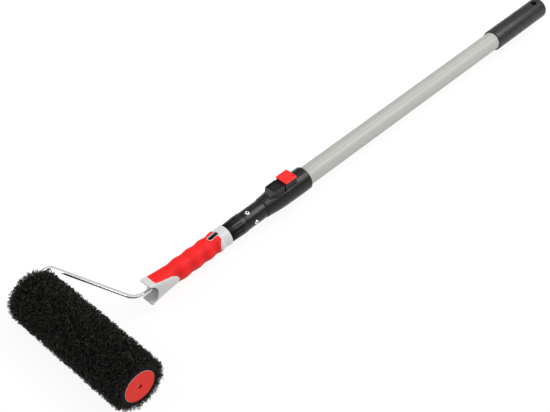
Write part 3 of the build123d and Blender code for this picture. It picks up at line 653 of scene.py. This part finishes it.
def planted(name, patterns, places, facing, height, draw):
    """One mesh that holds a turned and scaled copy of a pattern at every place."""
    count = len(places)
    side = np.cross(facing, draw.normal(size=(count, 3)))
    side /= np.linalg.norm(side, axis=1)[:, None]
    tilted = facing + side * draw.normal(scale=LOOP_TILT, size=count)[:, None]
    tilted /= np.linalg.norm(tilted, axis=1)[:, None]
    across = np.cross(tilted, side)
    across /= np.linalg.norm(across, axis=1)[:, None]
    along = np.cross(across, tilted)
    reach = height * (SHORTEST_LOOP + LOOP_EXCESS * draw.random(count) ** LONG_LOOP_RARITY)
    vertices, faces = [], []
    start = 0
    for index in range(count):
        shape, panels = patterns[index % len(patterns)]
        turned = shape * reach[index]
        basis = np.stack([along[index], across[index], tilted[index]])
        vertices.append(turned @ basis + places[index])
        faces.append(panels + start)
        start += len(shape)
    points = np.concatenate(vertices).astype(np.float32)
    panels = np.concatenate(faces).astype(np.int32)
    mesh = bpy.data.meshes.new(name)
    mesh.vertices.add(len(points))
    mesh.vertices.foreach_set("co", points.ravel())
    mesh.loops.add(panels.size)
    mesh.loops.foreach_set("vertex_index", panels.ravel())
    mesh.polygons.add(len(panels))
    mesh.polygons.foreach_set("loop_start", np.arange(0, panels.size, 4, dtype=np.int32))
    mesh.polygons.foreach_set("loop_total", np.full(len(panels), 4, dtype=np.int32))
    mesh.update(calc_edges=True)
    piece = bpy.data.objects.new(name, mesh)
    bpy.context.scene.collection.objects.link(piece)
    mesh.shade_smooth()
    return piece


def build_pile(settings):
    inset = BACKING_DEPTH * settings.loop_rise
    points = pile_outline(settings, inset)
    lining = [Vector((CORE_RADIUS, p.y)) for p in (points[-1], points[0])]
    base = spun("pile_base", points + lining + points[:1])
    finished(base, "roller", pile_base(settings), "black_pile", "roller_pile")
    patterns = []
    bends = [(0.0, 0.25), (0.35, -0.2), (-0.3, 0.4), (0.15, 0.55)]
    for number, (lean, twist) in enumerate(bends):
        loop = nylon_loop(settings, f"loop_{number}", lean, twist)
        shape = np.array([v.co for v in loop.data.vertices])
        panels = np.array([list(f.vertices) for f in loop.data.polygons if len(f.vertices) == 4])
        patterns.append((shape, panels))
        bpy.data.objects.remove(loop)
    draw = np.random.default_rng(PILE_SEED)
    places, facing = spread_over_outline(points, settings.loop_count, draw)
    facing, height = combed_off_the_caps(places, facing)
    order = np.argsort(places[:, 1])
    fibre = pile_fibre(settings)
    for band, members in enumerate(np.array_split(order, PILE_BANDS)):
        tufts = planted(
            f"pile_loops_{band + 1}", patterns, places[members], facing[members],
            height[members], draw,
        )
        finished(tufts, "roller", fibre, "black_pile", "roller_pile")


def spun(name, points):
    """Turn an outline of (radius, distance) points about the roller's axle into a closed skin."""
    piece = primitive("plane", name, size=MM)
    start = points[0]
    with editing(piece):
        bpy.ops.mesh.merge(type="CENTER")
        bpy.ops.transform.translate(value=(AXLE.x + start.x, AXLE.y + start.y, AXLE.z))
        for before, after in zip(points, points[1:]):
            step = after - before
            move = {"value": (step.x, step.y, 0.0)}
            bpy.ops.mesh.extrude_region_move(TRANSFORM_OT_translate=move)
        bpy.ops.mesh.select_all(action="SELECT")
        bpy.ops.mesh.spin(steps=SPIN_STEPS, angle=2 * math.pi, center=AXLE, axis=(0, 1, 0))
        bpy.ops.mesh.select_all(action="SELECT")
        bpy.ops.mesh.remove_doubles(threshold=0.001 * MM)
        bpy.ops.mesh.normals_make_consistent(inside=False)
    smooth(piece)
    return piece


def build_caps(settings):
    red = cap_plastic(settings)
    for node in ("near_cap", "far_cap"):
        piece = softened(node, f"{node}_moulded", settings.edge_round, 3)
        finished(piece, "roller", red, "cap_plastic", node)
    bearing = moulded_plastic("bearing_nylon", (0.62, 0.60, 0.55), 0.4)
    core = moulded_plastic("core_plastic", (0.10, 0.10, 0.10), 0.55)
    dress_nodes(bearing, "near_bearing", "far_bearing")
    dress_nodes(core, "roller_core")


# ---- Wire frame ----
def build_wire():
    dress_nodes(chromed_wire(), "frame_wire")
    steel = brushed_metal("zinc_steel", (0.62, 0.62, 0.64), 0.28)
    dress_nodes(steel, "push_nut", "far_stop")


# ---- Handle ----
def handle_plastic(shade):
    """Pale grey moulding, with painted shade in the depth of its mouth."""
    finish = Finish("handle_plastic", IOR=1.49)
    grain = finish.noise(0.35 * MM, detail=2.0)
    flow = finish.noise(22 * MM, stretch=(3.0, 1.0, 1.0), detail=2.0)
    reach = finish.reach(0, POLE_AXIS)
    inward = finish.along(0, centre=(HANDLE_LOW.x, 0.0, 0.0))
    within = finish.between(reach, *MOUTH_SHADE_RADII, 1.0, 0.0)
    depth_shade = finish.between(inward, 4 * MM, 26 * MM, 0.0, 0.85)
    body = finish.mix(flow, scaled(shade, 0.95), scaled(shade, 1.05))
    # painted shade: the grey darkens deep inside the mouth, within the mouth radii
    body = finish.mix(within * depth_shade, body, scaled(shade, 0.06))
    gloss = finish.between(flow, 0.35, 0.7, 0.38, 0.48)
    return finish.vary(Base_Color=body, Roughness=gloss, Normal=finish.bump(grain, 0.02 * MM))


def build_handle(settings):
    grey = handle_plastic(settings.handle_grey)
    body = softened("handle_body", "handle_body_moulded", settings.edge_round, 3)
    finished(body, "handle", grey, "grey_plastic", "handle_body")
    sleeve = softened("grip_sleeve", "grip_sleeve_moulded", 0.8 * settings.edge_round, 3)
    finished(sleeve, "handle", soft_sleeve(settings), "red_soft_grip", "grip_sleeve")


# ---- Nose cone, stem and rivets ----
def paint_shade_within(piece, radius, material):
    """Paint shade as a dark finish on the faces of a piece that lie within a radius of the pole's
    axis.
    """
    piece.data.materials.append(material)
    piece.active_material_index = 1
    with editing(piece):
        pick_faces(piece, lambda spot: (spot - POLE_AXIS).yz.length < radius)
        bpy.ops.object.material_slot_assign()


def build_stem(settings):
    cone_low, cone_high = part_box("nose_cone")
    shoulder = (cone_high.y - cone_low.y) / 2
    black = black_moulding("cone_plastic", settings.black, 0.38, shoulder - 0.6 * MM)
    cone = softened("nose_cone", "nose_cone_moulded", 0.25 * MM)
    finished(cone, "inner_pole", black, "cone_plastic", "nose_cone")
    sleeve = softened("stem_sleeve", "stem_sleeve_moulded", 0.3 * MM)
    smooth_black = black_moulding("stem_plastic", settings.black, 0.36)
    finished(sleeve, "inner_pole", smooth_black, "black_plastic", "stem_sleeve")
    rivets = softened("stem_rivets", "stem_rivets_domed", 0.2 * MM)
    bright = brushed_metal("rivet_aluminium", (0.86, 0.86, 0.86), 0.30)
    finished(rivets, "inner_pole", bright, "rivet_aluminium", "stem_rivets")
    # painted shade: a dark finish inside the rivets' holes
    hollow_shade = moulded_plastic("rivet_hole_shade", (0.02, 0.02, 0.02), 0.6)
    paint_shade_within(rivets, STEM_RADIUS + 0.2 * MM, hollow_shade)


# ---- Tubes ----
def build_tubes(settings):
    dress_nodes(anodised_pole(settings), "outer_tube")
    lengthwise = (400.0, 1.0, 1.0)
    drawn = brushed_metal("inner_aluminium", (0.72, 0.72, 0.73), 0.26, lengthwise)
    dress_nodes(drawn, "inner_tube")
    dress_nodes(moulded_plastic("glide_plastic", (0.5, 0.5, 0.48), 0.4), "rear_glide")


# ---- Lock housing and its works ----
def build_housing(settings):
    black = black_moulding("housing_plastic", settings.black)
    housing = softened("lock_housing", "lock_housing_moulded", settings.edge_round, 3)
    finished(housing, "pole", black, "black_plastic", "lock_housing")
    cover = softened("latch_cover", "latch_cover_moulded", 0.12 * MM)
    dull = black_moulding("cover_plastic", settings.black, 0.5)
    finished(cover, "pole", dull, "black_plastic", "latch_cover")
    dress_nodes(moulded_plastic("bush_plastic", (0.004, 0.004, 0.004), 0.6), "guide_bush")
    steel = brushed_metal("screw_steel", (0.55, 0.55, 0.56), 0.3)
    dress_nodes(steel, "housing_screw", "lever_pin", "lever_spring")


def build_lock(settings):
    red = moulded_plastic("button_plastic", settings.button_red, 0.34)
    button = softened("lock_button", "lock_button_moulded", 0.4 * settings.edge_round, 3)
    finished(button, "button", red, "red_plastic", "lock_button")
    dress_nodes(moulded_plastic("lever_plastic", (0.30, 0.30, 0.29), 0.4), "lock_lever")
    dress_nodes(soft_rubber("pad_rubber", (0.02, 0.02, 0.02), 0.7), "brake_pad")


# ---- Pole grip ----
def build_pole_grip(settings):
    grip = softened("pole_grip", "pole_grip_moulded", 0.4 * MM)
    rubber = soft_rubber("grip_rubber", settings.grip_grey, 0.42, dust=0.0, sheen=0.0)
    finished(grip, "pole", rubber, "grip_rubber", "pole_grip")


# ---- Stage ----
def build_stage(settings):
    scene = bpy.context.scene
    scene.view_settings.view_transform = "Standard"
    floor = primitive("plane", "floor", size=FLOOR_WIDTH, location=(0, 0, WHOLE_LOW.z))
    pale = Finish("floor_paper", Roughness=0.9, Specular_IOR_Level=0.1)
    shade = pale.mix(pale.noise(0.4, detail=2.0), (0.80, 0.80, 0.80), (0.83, 0.83, 0.83))
    glow = pale.add("ShaderNodeEmission", None, {"Color": (1.0, 1.0, 1.0), "Strength": 1.02})
    painted = Channel(pale, pale.shader.outputs[0])
    paper = pale.add("ShaderNodeMixShader", None, {0: settings.floor_glow, 1: painted, 2: glow})
    pale.vary(Base_Color=shade)
    pale.feed(pale.tree.nodes["Material Output"].inputs[0], paper)
    dress(floor, pale.material)

    world = bpy.data.worlds.new("studio")
    scene.world = world
    world.use_nodes = True
    build_room(world.node_tree, settings)
    soft_light("key_light", KEY_PLACE, KEY_WIDTH, settings.key_power)
    soft_light("fill_light", FILL_PLACE, FILL_WIDTH, settings.fill_power)

    camera = bpy.data.objects.new("camera", bpy.data.cameras.new("camera"))
    scene.collection.objects.link(camera)
    turn, rise, roll = settings.azimuth, settings.elevation, settings.roll
    back = Vector((
        math.sin(turn) * math.cos(rise), -math.cos(turn) * math.cos(rise), math.sin(rise),
    ))
    level = Vector((math.cos(turn), math.sin(turn), 0.0))
    upward = back.cross(level)
    right = math.cos(roll) * level + math.sin(roll) * upward
    up = math.cos(roll) * upward - math.sin(roll) * level
    target = Vector((settings.target_x, TARGET_Y, AXLE.z))
    facing = Matrix((right, up, back)).transposed().to_4x4()
    camera.matrix_world = Matrix.Translation(target + back * settings.distance) @ facing
    camera.data.lens = settings.lens
    camera.data.sensor_width = SENSOR_WIDTH
    scene.camera = camera


def build_room(tree, settings):
    """A white band at the horizon, dim walls above it and a bright ceiling."""
    outlook = tree.nodes.new("ShaderNodeTexCoord")
    parts = tree.nodes.new("ShaderNodeSeparateXYZ")
    room = tree.nodes.new("ShaderNodeValToRGB")
    walls, sky = settings.walls, settings.sky
    set_stops(room.color_ramp, ((0.0, 1.0), (0.10, 1.0), (0.20, walls), (0.40, walls), (0.80, sky)))
    tree.links.new(outlook.outputs["Generated"], parts.inputs[0])
    tree.links.new(parts.outputs[2], room.inputs[0])
    tree.links.new(room.outputs[0], tree.nodes["Background"].inputs[0])


def soft_light(name, place, width, power):
    """A square soft light that faces the middle of the object."""
    light = bpy.data.lights.new(name, "AREA")
    light.size = width
    light.energy = power
    lamp = bpy.data.objects.new(name, light)
    bpy.context.scene.collection.objects.link(lamp)
    lamp.location = place
    lamp.rotation_mode = "QUATERNION"
    lamp.rotation_quaternion = (-Vector(place)).to_track_quat("-Z", "Y")


# ---- Operators and panel ----
class PAINTROLLER_OT_pile(Operator):
    """Looped nylon pile on its backing, standing proud of the caps at both ends"""

    bl_idname = "paint_roller.pile"
    bl_label = "Pile"

    def execute(self, context):
        build_pile(context.scene.roller_pile)
        return {"FINISHED"}


class PAINTROLLER_OT_caps(Operator):
    """Red end caps, with the bearings and the core tube behind them"""

    bl_idname = "paint_roller.caps"
    bl_label = "End caps"

    def execute(self, context):
        build_caps(context.scene.roller_finish)
        return {"FINISHED"}


class PAINTROLLER_OT_wire(Operator):
    """Chromed wire frame with its stop collar and push nut"""

    bl_idname = "paint_roller.wire"
    bl_label = "Wire frame"

    def execute(self, context):
        build_wire()
        return {"FINISHED"}


class PAINTROLLER_OT_handle(Operator):
    """Grey handle body with its red soft sleeve"""

    bl_idname = "paint_roller.handle"
    bl_label = "Handle"

    def execute(self, context):
        build_handle(context.scene.roller_finish)
        return {"FINISHED"}


class PAINTROLLER_OT_stem(Operator):
    """Ribbed nose cone, stem sleeve and rivets"""

    bl_idname = "paint_roller.stem"
    bl_label = "Cone and stem"

    def execute(self, context):
        build_stem(context.scene.roller_finish)
        return {"FINISHED"}


class PAINTROLLER_OT_tubes(Operator):
    """Anodised outer tube, bright inner tube and its rear glide"""

    bl_idname = "paint_roller.tubes"
    bl_label = "Telescopic tubes"

    def execute(self, context):
        build_tubes(context.scene.roller_finish)
        return {"FINISHED"}


class PAINTROLLER_OT_housing(Operator):
    """Lock housing, latch cover, guide bush, screw, pin and spring"""

    bl_idname = "paint_roller.housing"
    bl_label = "Lock housing"

    def execute(self, context):
        build_housing(context.scene.roller_finish)
        return {"FINISHED"}


class PAINTROLLER_OT_lock(Operator):
    """Red lock button with its lever and brake pad"""

    bl_idname = "paint_roller.lock"
    bl_label = "Lock button"

    def execute(self, context):
        build_lock(context.scene.roller_finish)
        return {"FINISHED"}


class PAINTROLLER_OT_pole_grip(Operator):
    """Dark grip at the end of the pole"""

    bl_idname = "paint_roller.pole_grip"
    bl_label = "Pole grip"

    def execute(self, context):
        build_pole_grip(context.scene.roller_finish)
        return {"FINISHED"}


class PAINTROLLER_OT_stage(Operator):
    """Pale floor, soft lights and the camera"""

    bl_idname = "paint_roller.stage"
    bl_label = "Stage"

    def execute(self, context):
        build_stage(context.scene.roller_stage)
        return {"FINISHED"}


OPERATORS = (
    PAINTROLLER_OT_stage,
    PAINTROLLER_OT_pile,
    PAINTROLLER_OT_caps,
    PAINTROLLER_OT_wire,
    PAINTROLLER_OT_handle,
    PAINTROLLER_OT_stem,
    PAINTROLLER_OT_tubes,
    PAINTROLLER_OT_housing,
    PAINTROLLER_OT_lock,
    PAINTROLLER_OT_pole_grip,
)


class PAINTROLLER_PT_pieces(Panel):
    """Lists the steps that build the roller's looks"""

    bl_idname = "PAINTROLLER_PT_pieces"
    bl_label = "Paint Roller"
    bl_space_type = "VIEW_3D"
    bl_region_type = "UI"
    bl_category = "Paint Roller"

    def draw(self, context):
        for group in SETTINGS:
            box = self.layout.box()
            settings = getattr(context.scene, group)
            for name in settings.bl_rna.properties.keys():
                if name not in ("rna_type", "name"):
                    box.prop(settings, name)
        for operator in OPERATORS:
            self.layout.operator(operator.bl_idname)


SETTINGS = {
    "roller_pile": PileSettings,
    "roller_finish": FinishSettings,
    "roller_stage": StageSettings,
}


def register():
    for name, group in SETTINGS.items():
        bpy.utils.register_class(group)
        setattr(bpy.types.Scene, name, PointerProperty(type=group))
    for operator in OPERATORS:
        bpy.utils.register_class(operator)
    bpy.utils.register_class(PAINTROLLER_PT_pieces)


def unregister():
    bpy.utils.unregister_class(PAINTROLLER_PT_pieces)
    for operator in reversed(OPERATORS):
        bpy.utils.unregister_class(operator)
    for name, group in SETTINGS.items():
        delattr(bpy.types.Scene, name)
        bpy.utils.unregister_class(group)


def main():
    register()
    for operator in OPERATORS:
        category, step = operator.bl_idname.split(".")
        getattr(getattr(bpy.ops, category), step)()


if __name__ == "__main__":
    main()
